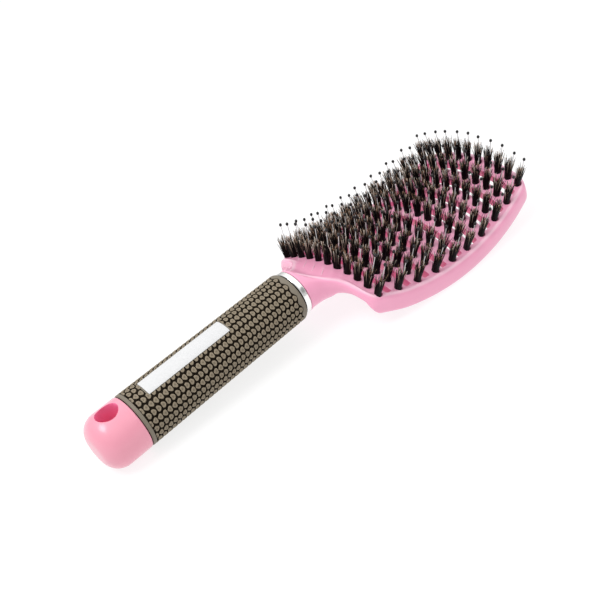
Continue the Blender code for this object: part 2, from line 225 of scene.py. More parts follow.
# a pad from its foot to its dished top, as (height, outline scale, tone)
PAD_LEVELS = (
    (-0.25, 1.07, 0.0), (0.25, 1.06, 0.12), (0.52, 1.02, 0.65), (0.69, 0.93, 1.0),
    # the lower tones in the dish are painted shade
    (0.75, 0.76, 1.0), (0.7, 0.5, 0.8), (0.58, 0.26, 0.6),
)

# the tilt at which the brush lies on its back
REST_TILT_DEG = -4.575

# studio: each glow is a direction and its brightness at two cosines from it
OVERHEAD = (0.35, 0.10, 0.93)
OVERHEAD_STOPS = ((0.45, 0.52), (0.85, 1.0))
FLAG = (0.48, -0.77, 0.42)
FLAG_STOPS = ((0.97, 1.0), (0.985, 0.08))
WORLD_STRENGTH = 1.1
FLOOR_HALF_SIZE = 3.0
FLOOR_TONE = 0.25
FLOOR_GLOW = 0.79
CAMERA_AT = (-0.194584, -0.262392, 0.229449)
CAMERA_TURN_DEG = (55.332711, 11.298439, -43.085499)
CAMERA_LENS = 49.8288
CAMERA_SENSOR = 36.0

BLACK = (0.0, 0.0, 0.0)
WHITE = (1.0, 1.0, 1.0)


def placed():
    """Handle frame to row frame: the CAD's tilt, then the ring's own box says where."""
    tilt = Matrix.Rotation(math.radians(REST_TILT_DEG), 4, "Y")
    low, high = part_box("neck_ring")
    ring = Vector(((RING_START_X + RING_END_X) / 2.0 * MM, 0.0, 0.0))
    return Matrix.Translation((low + high) / 2.0 - tilt @ ring) @ tilt @ Matrix.Scale(MM, 4)


PLACE = placed()


def smoothstep(low, high, value):
    t = min(1.0, max(0.0, (value - low) / (high - low)))
    return t * t * (3.0 - 2.0 * t)


def lerp(a, b, t):
    return a + (b - a) * t


# ---------------------------------------------------------------- materials


class Paint:
    """Small helper that builds one node material."""

    def __init__(self, name, roughness=0.5, metallic=0.0, specular=0.5):
        self.material = bpy.data.materials.new(name)
        self.material.use_nodes = True
        self.tree = self.material.node_tree
        self.shader = self.tree.nodes["Principled BSDF"]
        self.shader.inputs["Roughness"].default_value = roughness
        self.shader.inputs["Metallic"].default_value = metallic
        self.shader.inputs["Specular IOR Level"].default_value = specular
        self.where = self.tree.nodes.new("ShaderNodeTexCoord").outputs["Object"]

    def link(self, source, target):
        self.tree.links.new(source, target)

    def noise(self, scale, detail=2.0, roughness=0.5):
        node = self.tree.nodes.new("ShaderNodeTexNoise")
        node.inputs["Scale"].default_value = scale
        node.inputs["Detail"].default_value = detail
        node.inputs["Roughness"].default_value = roughness
        self.link(self.where, node.inputs["Vector"])
        return node.outputs["Fac"]

    def attribute(self, name):
        node = self.tree.nodes.new("ShaderNodeAttribute")
        node.attribute_name = name
        return node.outputs["Fac"]

    def ramp(self, source, stops):
        node = self.tree.nodes.new("ShaderNodeValToRGB")
        marks = node.color_ramp.elements
        while len(marks) < len(stops):
            marks.new(0.5)
        for mark, (position, colour) in zip(marks, stops):
            mark.position = position
            mark.color = tuple(colour) + (1.0,)
        self.link(source, node.inputs["Fac"])
        return node.outputs["Color"]

    def mix(self, factor, a, b, blend="MIX"):
        node = self.tree.nodes.new("ShaderNodeMix")
        node.data_type = "RGBA"
        node.blend_type = blend
        for value, socket in ((factor, node.inputs[0]), (a, node.inputs[6]), (b, node.inputs[7])):
            if isinstance(value, (int, float)):
                socket.default_value = value
            elif isinstance(value, tuple):
                socket.default_value = value + (1.0,)
            else:
                self.link(value, socket)
        return node.outputs[2]

    def spread(self, source, low, high):
        node = self.tree.nodes.new("ShaderNodeMapRange")
        node.inputs["To Min"].default_value = low
        node.inputs["To Max"].default_value = high
        self.link(source, node.inputs["Value"])
        return node.outputs["Result"]

    def colour(self, source):
        self.link(source, self.shader.inputs["Base Color"])

    def rough(self, source, low, high):
        self.link(self.spread(source, low, high), self.shader.inputs["Roughness"])

    def bump(self, source, strength, distance):
        node = self.tree.nodes.new("ShaderNodeBump")
        node.inputs["Strength"].default_value = strength
        node.inputs["Distance"].default_value = distance
        self.link(source, node.inputs["Height"])
        self.link(node.outputs["Normal"], self.shader.inputs["Normal"])


def pink_plastic(name, light, deep):
    """Glossy moulded ABS: faint flow mottle, fine satin skin, a painted highlight along a raised
    edge.
    """
    paint = Paint(name, specular=0.5)
    mottle = paint.noise(60.0, 3.0)
    # a paler pink mixed in along the head's raised edge: a painted highlight
    pale_highlight = tuple(lerp(c, 1.0, 0.26) for c in light)
    crest_highlight = paint.attribute("crest_highlight")
    paint.colour(paint.mix(crest_highlight, paint.ramp(mottle, ((0.3, deep), (0.7, light))), pale_highlight))
    paint.rough(paint.noise(400.0, 2.0), 0.26, 0.36)
    paint.bump(paint.noise(2600.0, 1.0), 0.05, 0.00005)
    paint.shader.inputs["Coat Weight"].default_value = 0.25
    paint.shader.inputs["Coat Roughness"].default_value = 0.12
    return paint.material


def taupe_rubber(name, dark, light, specular=0.3):
    """Soft-touch rubber: fine grain over faint lighter patches."""
    paint = Paint(name, specular=specular)
    grain = paint.noise(2400.0, 3.0, 0.6)
    patch = paint.noise(90.0, 2.0)
    tone = paint.ramp(patch, ((0.3, dark), (0.7, light)))
    paint.colour(paint.mix(paint.spread(grain, 0.0, 0.25), tone, tuple(0.6 * c for c in dark)))
    paint.rough(grain, 0.48, 0.66)
    paint.bump(grain, 0.25, 0.00006)
    return paint.material


def pad_rubber(name, dark, light):
    """Pads whose sides fall away into the dark ground between them."""
    paint = Paint(name, specular=0.2)
    grain = paint.noise(2400.0, 3.0, 0.6)
    top = paint.mix(paint.spread(grain, 0.0, 0.25), light, tuple(0.72 * c for c in light))
    # tone darkens each pad towards its foot, into the dark ground, and paints shade in its dish
    rise = paint.ramp(paint.attribute("tone"), ((0.25, BLACK), (0.8, WHITE)))
    paint.colour(paint.mix(rise, dark, top))
    paint.rough(grain, 0.45, 0.62)
    paint.bump(grain, 0.2, 0.00005)
    return paint.material


def plated_metal(name):
    """Bright plating, very slightly clouded."""
    paint = Paint(name, metallic=1.0)
    cloud = paint.noise(120.0, 2.0)
    paint.colour(paint.ramp(cloud, ((0.3, (0.93, 0.93, 0.92)), (0.7, (0.98, 0.98, 0.97)))))
    paint.rough(paint.noise(700.0, 2.0), 0.12, 0.2)
    return paint.material


def label_film(name):
    """Blank satin film with a faint fibre."""
    paint = Paint(name, specular=0.4)
    fibre = paint.noise(900.0, 3.0)
    paint.colour(paint.ramp(fibre, ((0.3, (0.66, 0.665, 0.67)), (0.7, (0.70, 0.70, 0.705)))))
    paint.rough(fibre, 0.38, 0.5)
    paint.bump(fibre, 0.1, 0.00004)
    return paint.material


def bristle_hair(name):
    """Boar bristle: black at the root, brown to straw at the tip, some strands paler."""
    paint = Paint(name, specular=0.12)
    along = paint.attribute("along")
    shade = paint.attribute("shade")
    brown = paint.ramp(along, ((0.0, (0.003, 0.002, 0.002)), (0.5, (0.007, 0.004, 0.004)),
                               (0.82, (0.030, 0.014, 0.010)), (1.0, (0.50, 0.30, 0.19))))
    # pale strands: partly real pale bristles, partly painted glints on the hair
    pale_highlight = paint.ramp(along, ((0.0, (0.004, 0.003, 0.003)), (0.4, (0.03, 0.02, 0.016)),
                              (0.75, (0.48, 0.38, 0.30)), (1.0, (0.95, 0.86, 0.76))))
    black = paint.ramp(along, ((0.0, (0.002, 0.0015, 0.002)), (0.7, (0.004, 0.003, 0.003)),
                               (1.0, (0.010, 0.007, 0.006))))
    some_brown = paint.ramp(shade, ((0.60, BLACK), (0.64, WHITE)))
    # which strands are pale, partly as painted glints
    some_pale_glinting = paint.ramp(shade, ((0.86, BLACK), (0.89, WHITE)))
    paint.colour(paint.mix(some_pale_glinting, paint.mix(some_brown, black, brown), pale_highlight))
    paint.rough(shade, 0.4, 0.6)
    return paint.material


def nylon_shaft(name):
    """Half-clear nylon."""
    paint = Paint(name, roughness=0.3)
    cloud = paint.noise(500.0, 2.0)
    paint.colour(paint.ramp(cloud, ((0.3, (0.76, 0.75, 0.75)), (0.7, (0.86, 0.85, 0.85)))))
    paint.shader.inputs["Transmission Weight"].default_value = 0.35
    paint.shader.inputs["IOR"].default_value = 1.4
    return paint.material


def black_ball(name):
    """Glossy black resin."""
    paint = Paint(name)
    cloud = paint.noise(800.0, 2.0)
    paint.colour(paint.ramp(cloud, ((0.3, (0.006, 0.006, 0.007)), (0.7, (0.014, 0.013, 0.014)))))
    paint.rough(cloud, 0.22, 0.34)
    return paint.material


def plain_core(name):
    """Plain dark plastic for the hidden core."""
    paint = Paint(name)
    cloud = paint.noise(200.0, 2.0)
    paint.colour(paint.ramp(cloud, ((0.3, (0.10, 0.10, 0.10)), (0.7, (0.16, 0.16, 0.16)))))
    return paint.material


# ---------------------------------------------------------------- mesh helpers


def make_piece(name, points, faces, materials, tags=None):
    """Mesh object from handle-frame points, with one value a point for each tag."""
    mesh = bpy.data.meshes.new(name)
    mesh.from_pydata([tuple(p) for p in points], [], [tuple(f) for f in faces])
    mesh.transform(PLACE)
    for paint in materials:
        mesh.materials.append(paint)
    for tag, values in (tags or {}).items():
        layer = mesh.attributes.new(tag, "FLOAT", "POINT")
        layer.data.foreach_set("value", np.asarray(values, np.float32))
    made = bpy.data.objects.new(name, mesh)
    bpy.context.collection.objects.link(made)
    return made


def face_outward(mesh):
    work = bmesh.new()
    work.from_mesh(mesh)
    bmesh.ops.recalc_face_normals(work, faces=work.faces)
    work.to_mesh(mesh)
    work.free()


def finish_piece(made, replaces, sharp_deg=None):
    """Shading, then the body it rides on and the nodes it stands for."""
    face_outward(made.data)
    made.data.shade_smooth()
    if sharp_deg:
        made.data.set_sharp_from_angle(angle=math.radians(sharp_deg))
    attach(made, "root")
    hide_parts(*replaces)


def cut(target, tool, operation="DIFFERENCE"):
    """Exact Boolean that keeps the tool's materials on the faces it leaves."""
    for thing in (target, tool):
        face_outward(thing.data)
    step = target.modifiers.new(operation, "BOOLEAN")
    step.operation = operation
    step.solver = "EXACT"
    step.material_mode = "TRANSFER"
    step.object = tool
    graph = bpy.context.evaluated_depsgraph_get()
    solved = bpy.data.meshes.new_from_object(target.evaluated_get(graph))
    target.modifiers.clear()
    target.data = solved
    bpy.data.objects.remove(tool, do_unlink=True)


def stacked(loops, closed=False):
    """Points and faces of a skin through equal loops, capped unless it closes on itself."""
    count = len(loops[0])
    total = len(loops)
    points = [p for loop in loops for p in loop]
    faces = []
    for s in range(total if closed else total - 1):
        here = s * count
        after = (s + 1) % total * count
        for k in range(count):
            beside = (k + 1) % count
            faces.append((here + k, here + beside, after + beside, after + k))
    if not closed:
        faces.append(tuple(reversed(range(count))))
        faces.append(tuple(range((total - 1) * count, total * count)))
    return points, faces


def gathered(parts):
    """Joins several (points, faces) shells into one pair."""
    points = []
    faces = []
    for some, around in parts:
        base = len(points)
        points.extend(some)
        faces.extend(tuple(base + k for k in face) for face in around)
    return points, faces


def circle(x, radius, sides):
    """Ring round the handle's axis at x."""
    turns = [2.0 * math.pi / sides * k for k in range(sides)]
    return [Vector((x, -radius * math.sin(turn), radius * math.cos(turn))) for turn in turns]


def on_tube(x, degrees, radius):
    """Point round the handle's axis at x: 0 degrees is on top, 90 towards -Y."""
    angle = math.radians(degrees)
    return Vector((x, -radius * math.sin(angle), radius * math.cos(angle)))


# ---------------------------------------------------------------- head


def slope_at(u):
    return ROW_A_SLOPE + u / PROFILE_R


def face_point(u, v, h=0.0):
    """Point on the head's face: u along the profile, v across the arch, h along the normal."""
    slope = slope_at(u)
    x = ROW_A_X + (math.sin(slope) - math.sin(ROW_A_SLOPE)) * PROFILE_R
    z = ROW_A_Z - (math.cos(slope) - math.cos(ROW_A_SLOPE)) * PROFILE_R
    up = Vector((-math.sin(slope), 0.0, math.cos(slope)))
    side = Vector((0.0, -1.0, 0.0))
    angle = v / ARCH_R
    sunk = ARCH_R * (1 - math.cos(angle))
    base = Vector((x, 0.0, z)) + side * (ARCH_R * math.sin(angle)) - up * sunk
    return base + (up * math.cos(angle) + side * math.sin(angle)) * h


def rounded_table(pairs, value):
    """Smooth rising curve through the outline's pairs, with slopes that never overshoot."""
    last = len(pairs) - 1
    k = 0
    while k < last - 1 and value > pairs[k + 1][0]:
        k += 1
    steps = [(pairs[i + 1][1] - pairs[i][1]) / (pairs[i + 1][0] - pairs[i][0]) for i in range(last)]

    def tilt(i):
        if i in (0, last):
            return steps[0] if i == 0 else OUTLINE_END_SLOPE
        return 2.0 * steps[i - 1] * steps[i] / (steps[i - 1] + steps[i])

    (x0, y0), (x1, y1) = pairs[k], pairs[k + 1]
    wide = x1 - x0
    t = min(1.0, max(0.0, (value - x0) / wide))
    return (y0 * (1 + 2 * t) * (1 - t) ** 2 + y1 * t * t * (3 - 2 * t)
            + wide * (tilt(k) * t * (1 - t) ** 2 - tilt(k + 1) * t * t * (1 - t)))


def half_width(u):
    """Half width of the head's ridge at u, rounded at the tip corners."""
    if u < NECK_OUTLINE[-1][0]:
        return rounded_table(NECK_OUTLINE, u)
    wide = HEAD_HALF_WIDTH + HEAD_SWELL * (1.0 - ((u - HEAD_MID) / HEAD_HALF_LENGTH) ** 2)
    wide -= SHOULDER_TUCK * (1.0 - smoothstep(0.0, SHOULDER_TUCK_END, u))
    into = u - (HEAD_END - TIP_CORNER_R)
    if into > 0.0:
        wide -= TIP_CORNER_R - math.sqrt(max(0.0, TIP_CORNER_R**2 - into**2))
    return wide


def flare(u):
    """How fast the outline widens: steep along the shoulders, nothing past them."""
    near = 0.4
    grown = (half_width(u + near) - half_width(u - near)) / (2.0 * near)
    return max(0.0, grown) * (1.0 - smoothstep(-0.5, 2.0, u))


def row_line(index, v):
    """Where a row crosses v: the ends are evenly stepped and the middle bows away from mid-head."""
    end = ROW_FIRST + ROW_STEP * index + ROW_STEP_GROWTH * index**2
    bow = BACK_BOW if index < BACK_ROWS else FRONT_BOW
    return end + bow * ((v / BOW_AT) ** 2 - 1.0)


def row_half(index):
    """Half length of a bristle row, to the centre of its last tuft."""
    away = (row_line(index, BOW_AT) - ROW_MID) / HEAD_HALF_LENGTH
    return ROW_HALF_WIDTH + ROW_SWELL * (1.0 - away**2)


def tip_bulge(u, v):
    """How far the tip edge swells forward of a straight line across the head."""
    return TIP_BULGE * max(0.0, 1.0 - (v / BOW_AT) ** 2) * smoothstep(85.0, HEAD_END, u)


def skin_point(u, v, h=0.0):
    """Point on the face with the tip's bulge."""
    return face_point(u + tip_bulge(u, v), v, h)


def rim_height(depth):
    """Rounded edge of the face, then the soft raised line that runs inside it."""
    edge = -EDGE_ROUND_DROP * max(0.0, 1.0 - depth / EDGE_ROUND_WIDTH) ** 2
    return edge + RIM_RAISE * smoothstep(0.3, 1.5, depth) * (1.0 - smoothstep(1.6, 3.6, depth))


def margin_line(start, end):
    """Slim bead that swells up out of the face and sinks back at both ends."""
    loops = []
    for k in range(13):
        share = k / 12.0
        u, v = lerp(start[0], end[0], share), lerp(start[1], end[1], share)
        swell = math.sin(math.pi * lerp(0.04, 0.96, share)) ** 0.5
        ring = []
        for turn in range(8):
            angle = math.pi * turn / 4.0
            aside = LINE_HALF_WIDTH * swell * math.cos(angle)
            raised = LINE_RAISE + LINE_HEIGHT * swell * math.sin(angle)
            ring.append(face_point(u, v + aside, raised))
        loops.append(ring)
    return stacked(loops)


def crest_highlight_share(depth):
    """How much of the painted highlight along the edge shows at this depth."""
    return smoothstep(0.0, 0.9, depth) * (1.0 - smoothstep(1.3, 2.6, depth))


def edge_depth(u, v):
    """Distance in from the nearest edge of the face."""
    return min((half_width(u) - abs(v)) / math.hypot(1.0, flare(u)), HEAD_END - u)


def head_crest_highlights():
    """Painted highlight share for every point of the head's stations, nothing below the edge."""
    tones = []
    for u in head_positions():
        top = [crest_highlight_share(edge_depth(u, v)) * smoothstep(-24.0, -21.0, u) for v in top_columns(u)]
        tones += top + [0.0] * (len(head_station(u)) - len(top))
    return tones


def top_columns(u):
    """Where the face's columns cross u: close together by the edges, evenly spread between."""
    wide = half_width(u)
    most = wide / 14.0 * lerp(1.0, 2.8, smoothstep(12.0, 22.0, wide))
    stretch = min(math.hypot(1.0, flare(u)), most)
    edge = [wide - inset * stretch for inset in RIM_STEPS]
    inner = edge[-1]
    span = [inner * (2.0 * k / (FACE_COLUMNS + 1) - 1.0) for k in range(1, FACE_COLUMNS + 1)]
    return [-v for v in edge] + span + edge[::-1]


def ellipse_point(x, angle, wide, tall):
    return Vector((x, -wide * math.sin(angle), tall * math.cos(angle)))


def wall_drop(u):
    """How deep the edge wall is: it grows out of the rounded shoulder lobes."""
    along = min(1.0, max(0.0, (u - LOBE_START) / LOBE_LENGTH))
    return WALL_DROP * lerp(LOBE_DROP_SHARE, 1.0, math.sin(along * math.pi / 2.0) ** 0.7)


def belly_depth(u, v):
    """Depth of the neck's round underside, which runs out along the middle of the head."""
    across = min(1.0, abs(v) / NECK_BELLY_HALF_WIDTH)
    round_part = face_point(u, 0.0).z + NECK_HALF_HEIGHT * math.sqrt(1.0 - across**2)
    return round_part * (1.0 - smoothstep(-6.0, 20.0, u))


def underside_point(u, v, down, tip_depth):
    """Under the face: the ribs' or the belly's depth, and the wall's full depth at the tip."""
    skirt = skin_point(u, v) + down * WALL_DROP
    rib_depth = RIB_DEPTH * lerp(0.75, 1.0, smoothstep(-8.0, 0.0, u))
    rib = skin_point(u, v, -max(rib_depth, belly_depth(u, v)))
    return rib.lerp(skirt, 1.0 - smoothstep(TIP_SKIRT[0], TIP_SKIRT[1], tip_depth))


def lower_side(u, wide, down, side, sign, tip_depth):
    """The edge wall on one side, from the ridge down and round to the underside."""
    ridge = skin_point(u, wide * sign)
    steep = flare(u)
    along = Vector((-down.z, 0.0, down.x))
    swell = lerp(0.3, 1.0, smoothstep(-5.0, -1.0, u))
    out = (side * sign - along * steep) / math.hypot(1.0, steep) * swell
    drop = wall_drop(u)
    inner = max(0.4 * wide, wide - WALL_THICKNESS)
    loop = [ridge + down * (drop * share) + out * push for share, push in WALL_STEPS]
    return loop + [underside_point(u, inner * sign, down, tip_depth)]


def head_station(u):
    """One closed loop round the head: the face, then the wall, skirt and underside."""
    columns = top_columns(u)
    wide = half_width(u)
    slope = slope_at(u)
    down = Vector((math.sin(slope), 0.0, -math.cos(slope)))
    side = Vector((0.0, -1.0, 0.0))
    centre_x = face_point(u, 0.0).x
    oval_wide = max(NECK_R + NECK_SWELL * smoothstep(HEAD_START, -18.0, u), wide + NECK_MARGIN)
    oval_tall = lerp(NECK_R, NECK_HALF_HEIGHT, smoothstep(HEAD_START, -8.0, u))
    top_blend = smoothstep(HEAD_START, -17.0, u)
    low_blend = smoothstep(-12.5, -6.0, u)
    tip_depth = HEAD_END - u
    loop = []
    for v in columns:
        skin = skin_point(u, v, rim_height(edge_depth(u, v)))
        angle = math.asin(max(-1.0, min(1.0, v / oval_wide)))
        neck = ellipse_point(centre_x, angle, oval_wide, oval_tall)
        loop.append(neck.lerp(skin, top_blend))
    near = lower_side(u, wide, down, side, 1.0, tip_depth)
    far = lower_side(u, wide, down, side, -1.0, tip_depth)
    inner = len(RIM_STEPS)
    under = [underside_point(u, v, down, tip_depth) for v in reversed(columns[inner:-inner])]
    lower = near + under + far[::-1]
    start = math.asin(min(1.0, wide / oval_wide))
    count = len(lower)
    for k, shaped in enumerate(lower):
        angle = lerp(start, 2.0 * math.pi - start, (k + 1) / (count + 1))
        loop.append(ellipse_point(centre_x, angle, oval_wide, oval_tall).lerp(shaped, low_blend))
    return loop


def head_positions():
    """Every u that gets a station: close together where the outline turns."""
    neck = [HEAD_START + 0.8 * k for k in range(16)]
    shoulder = [-12.3 + 0.42 * k for k in range(32)]
    body = [1.5 + 2.4 * k for k in range(42)]
    tip = [HEAD_END - d for d in (7.0, 6.0, 5.0, 4.2, 3.5, 2.8, 2.2, 1.6, 1.1, 0.7, 0.35, 0.1, 0.0)]
    return neck + shoulder + body + tip


def relaxed(loops):
    """Evens out the neck, where the oval turns into face, walls and underside."""
    grid = np.array([[tuple(p) for p in loop] for loop in loops])
    shares = [NECK_SMOOTHING * smoothstep(-24.6, -22.0, u) * (1.0 - smoothstep(-9.5, -5.0, u))
              for u in head_positions()]
    share = np.array(shares)[:, None, None]
    for _ in range(NECK_PASSES):
        behind = np.concatenate((grid[:1], grid[:-1]))
        ahead = np.concatenate((grid[1:], grid[-1:]))
        mean = (np.roll(grid, 1, 1) + np.roll(grid, -1, 1) + behind + ahead) / 4.0
        grid += share * (mean - grid)
    return [[Vector(p) for p in loop] for loop in grid]


def slot_shell(index):
    """Square-ended slot with softened mouths, following the arch right through."""
    half_wide = (SLOT_WIDTH + SLOT_WIDENING * index) / 2.0
    reach = (row_half(index) + row_half(index + 1)) / 2.0 + SLOT_PAST_TUFT
    half = [((reach - SLOT_CORNER_R) * k / 12.0, half_wide) for k in range(13)]
    for turn_deg in (25.0, 48.0, 68.0, 84.0):
        turn = math.radians(turn_deg)
        half.append((reach - SLOT_CORNER_R * (1.0 - math.sin(turn)),
                     half_wide - SLOT_CORNER_R * (1.0 - math.cos(turn))))
    stations = [(-v, wide) for v, wide in reversed(half[1:])] + half
    loops = []
    for v, wide in stations:
        u_mid = row_line(index + 1, v) - SLOT_BEFORE_ROW - half_wide
        corners = [(u_mid - (wide + more), h) for more, h in SLOT_MOUTH]
        corners += [(u_mid + (wide + more), h) for more, h in reversed(SLOT_MOUTH)]
        loops.append([face_point(u, v, h) for u, h in corners])
    return stacked(loops)


def row_point(index, v, p, q):
    """Point in a row's own grid: p along the handle, q along the bristles."""
    lean = TUFT_LEAN_MID + TUFT_LEAN_STEP * (index - 4.5)
    fan = TUFT_FAN * v / ARCH_R
    along = Vector((math.cos(lean), 0.0, -math.sin(lean)))
    rise = Vector((math.sin(lean) * math.cos(fan), -math.sin(fan), math.cos(lean) * math.cos(fan)))
    return face_point(row_line(index, v), v) + along * p + rise * q


def across_row(index, v):
    """One millimetre along the row at v."""
    return row_point(index, v + 0.5, 0.0, 0.0) - row_point(index, v - 0.5, 0.0, 0.0)


def tuft_positions(index):
    """Where a row's tufts stand, evenly from end to end."""
    reach = row_half(index)
    count = TUFTS_PER_ROW[index]
    return [reach * (2.0 * k / (count - 1) - 1.0) for k in range(count)]


def standing(index, v, middle, levels, sides, sway=(0.0, 0.0)):
    """Post at v: a ring of each radius at its height, round a middle that may sway."""
    across = across_row(index, v)
    loops = []
    for height, radius in levels:
        off = height / BALL_HEIGHT
        loop = []
        for k in range(sides):
            turn = 2.0 * math.pi * k / sides
            p = middle + sway[0] * off + radius * math.cos(turn)
            aside = sway[1] * off + radius * math.sin(turn)
            loop.append(row_point(index, v, p, height) + across * aside)
        loops.append(loop)
    return stacked(loops)


def build_head(pink, inner, light):
    """The pink moulding: head, neck and tang, with its slots, margin lines and tuft holes."""
    points, faces = stacked(relaxed([head_station(u) for u in head_positions()]))
    # each point of the head carries its share of the painted edge highlight
    head = make_piece("head_shell", points, faces, [pink, inner], tags={"crest_highlight": head_crest_highlights()})
    tang = stacked([circle(TANG_START_X, TANG_R - 0.8, 32), circle(TANG_START_X + 0.8, TANG_R, 32),
                    circle(NECK_START_X + 2.0, TANG_R, 32)])
    cut(head, make_piece("tang", *tang, [pink]), "UNION")
    slots = gathered([slot_shell(index) for index in range(ROW_COUNT - 1)])
    # slot walls take a darker, deeper pink: painted shade
    cut(head, make_piece("slots", *slots, [inner]))
    beads = gathered([margin_line(start, end) for start, end in MARGIN_LINES])
    # the beads are a paler pink: painted highlight along the lines
    cut(head, make_piece("beads", *beads, [light]), "UNION")
    holes = gathered([standing(index, v, TUFT_HOLE_CENTRE, TUFT_HOLE, 16)
                      for index in range(ROW_COUNT) for v in tuft_positions(index)])
    # tuft hole walls take the same darker pink: painted shade
    cut(head, make_piece("holes", *holes, [inner]))
    finish_piece(head, ["head_frame"], 38.0)


# ---------------------------------------------------------------- handle


def build_cap(pink, deep):
    """The end cap: rounded end, flared hanging hole and the spigot inside the grip."""
    profile = []
    for k in range(15):
        turn = math.pi / 2.0 * k / 14.0
        profile.append((CAP_START_X + CAP_EDGE_R * (1.0 - math.cos(turn)),
                        CAP_R - CAP_EDGE_R * (1.0 - math.sin(turn))))
    profile += [(10.0, CAP_R + 0.02), (CAP_END_X - 0.7, CAP_R), (CAP_END_X - 0.3, CAP_R - 0.12),
                (CAP_END_X - 0.05, CAP_R - 0.4), (CAP_END_X, CAP_R - 0.8), (CAP_END_X, SPIGOT_R),
                (SPIGOT_END_X - 0.8, SPIGOT_R), (SPIGOT_END_X, SPIGOT_R - 0.8)]
    points, faces = stacked([circle(x, r, CAP_SIDES) for x, r in profile])
    cap = make_piece("cap_shell", points, faces, [pink, deep])
    sizes = [(-z, HOLE_R + more) for z, more in HOLE_UNDER]
    sizes += [(z, HOLE_R + more) for z, more in reversed(HOLE_TOP)]
    turns = [2.0 * math.pi / HOLE_SIDES * k for k in range(HOLE_SIDES)]
    points, faces = stacked([
        [Vector((HOLE_X + radius * math.cos(turn), radius * math.sin(turn), z)) for turn in turns]
        for z, radius in sizes
    ])
    # the hole's walls take a deeper, redder pink: painted light bounced inside the hole
    cut(cap, make_piece("hole", points, faces, [deep]))
    finish_piece(cap, ["end_cap"], 40.0)


def grip_radius(x):
    """The grip's outside, which tapers towards the ring."""
    return lerp(GRIP_START_R, GRIP_END_R, (x - GRIP_START_X) / (GRIP_END_X - GRIP_START_X))


def ground_radius(x):
    """The sunk ground between the pads."""
    return grip_radius(x) - GROUND_DEPTH


def pad_outline(kind, sides):
    """Pad edge as (along, across) pairs: a rounded D with a nicked back, or a rounder wedge."""
    outline = []
    for k in range(sides):
        turn = 2.0 * math.pi * k / sides
        nick = math.exp(-((turn - math.pi) / 0.42) ** 2)
        nose = math.exp(-(min(turn, 2.0 * math.pi - turn) / 0.55) ** 2)
        if kind:
            along = PAD_HALF_LENGTH * math.cos(turn) + 0.12 * nose + 0.32 * nick
            across = PAD_HALF_WIDTH * math.sin(turn) * (1.0 - 0.10 * math.cos(turn))
        else:
            along = -(PAD_HALF_LENGTH * math.cos(turn) + 0.2 * nose + 0.1 * nick)
            across = PAD_HALF_WIDTH * math.sin(turn) * (1.0 - 0.26 * math.cos(turn))
        outline.append((along, across))
    return outline


def pad_shell(x, degrees, kind, sides=18):
    """One raised pad on the grip, with the tone that darkens its foot and paints shade in its dish.
    """
    outline = pad_outline(kind, sides)
    per_mm = 360.0 / (2.0 * math.pi * grip_radius(x))
    loops = []
    tones = []
    for height, grow, tone in PAD_LEVELS:
        radius = ground_radius(x) + height
        edge = [clear_of_label(x + a * grow, degrees + c * grow * per_mm, x, degrees)
                for a, c in outline]
        loops.append([on_tube(max(at, CAP_COLLAR_END), turned, radius) for at, turned in edge])
        tones += [tone] * sides
    points, faces = stacked(loops)
    return points, faces, tones


def clear_of_label(x, turned, at_x, at_deg):
    """Moves a pad's edge point off the label's frame, on the side its own middle lies."""
    start, end = LABEL_START_X - FRAME, LABEL_END_X + FRAME
    low, high = LABEL_LOW_DEG - FRAME_DEG, LABEL_HIGH_DEG + FRAME_DEG
    if not (start < x < end and low < turned < high):
        return x, turned
    if at_deg >= LABEL_HIGH_DEG:
        return x, high
    if at_deg <= LABEL_LOW_DEG:
        return x, low
    return (start if at_x < LABEL_START_X else end), turned


def under_label(x, turned):
    """Whether a pad with its middle here would be hidden by the label."""
    if not LABEL_START_X - 0.4 < x < LABEL_END_X + 0.4:
        return False
    return LABEL_LOW_DEG + 1.0 < turned < LABEL_HIGH_DEG - 1.0


def build_pads(rubber):
    """Lines of pads along the grip, every other line half a pad out of step and turned round."""
    shells = []
    tones = []
    for row in range(round(360.0 / PAD_PITCH_DEG)):
        degrees = (row * PAD_PITCH_DEG + 180.0) % 360.0 - 180.0
        kind = row % 2 == 0
        x = PAD_FIRST_X - (0.0 if kind else PAD_PITCH_X * 0.5)
        while x <= PAD_LAST_X + 0.1:
            if not under_label(x, degrees):
                some, around, tone = pad_shell(x, degrees, kind)
                shells.append((some, around))
                tones += tone
            x += PAD_PITCH_X
    points, faces = gathered(shells)
    pads = make_piece("grip_pads", points, faces, [rubber], tags={"tone": tones})
    finish_piece(pads, ["grip_sleeve"], 50.0)


def scallop(degrees):
    """How far the ring-end collar's edge steps back between pads."""
    phase = math.radians(degrees * 180.0 / PAD_PITCH_DEG)
    return SCALLOP_DEPTH * math.cos(phase)


def seam_rise(degrees):
    """The mould's two parting lines, left standing along the sides."""
    away = min(abs((degrees - side + 180.0) % 360.0 - 180.0) for side in SEAM_SIDES_DEG)
    return SEAM_SHARE * (1.0 - smoothstep(0.6, 1.2, away))


def grip_stations():
    """(x, rise, follow) for each ring: rise lifts it to collar height, follow lets it wave."""
    cap_collar = [(GRIP_START_X + d, 1.0, 0.0) for d in (0.0, 0.2, 0.5, 1.0, 1.55)]
    cap_collar += [(20.02, 0.9, 0.0), (20.1, 0.5, 0.0), (20.18, 0.1, 0.0), (20.3, 0.0, 0.0)]
    field = [(lerp(21.5, PAD_LAST_X - 0.9, k / 24.0), 0.0, 0.0) for k in range(25)]
    edge = PAD_LAST_X + 0.9
    steps = ((-0.8, 0.0, 0.6), (-0.16, 0.0, 1.0), (-0.08, 0.12, 1.0), (0.0, 0.5, 1.0),
             (0.08, 0.88, 1.0), (0.16, 1.0, 1.0), (0.7, 1.0, 0.4))
    ring_collar = [(edge + d, rise, follow) for d, rise, follow in steps]
    ring_collar += [(GRIP_END_X - d, 1.0, 0.0) for d in (1.4, 1.2, 1.0, 0.7, 0.45, 0.25, 0.1, 0.0)]
    return cap_collar + field + ring_collar


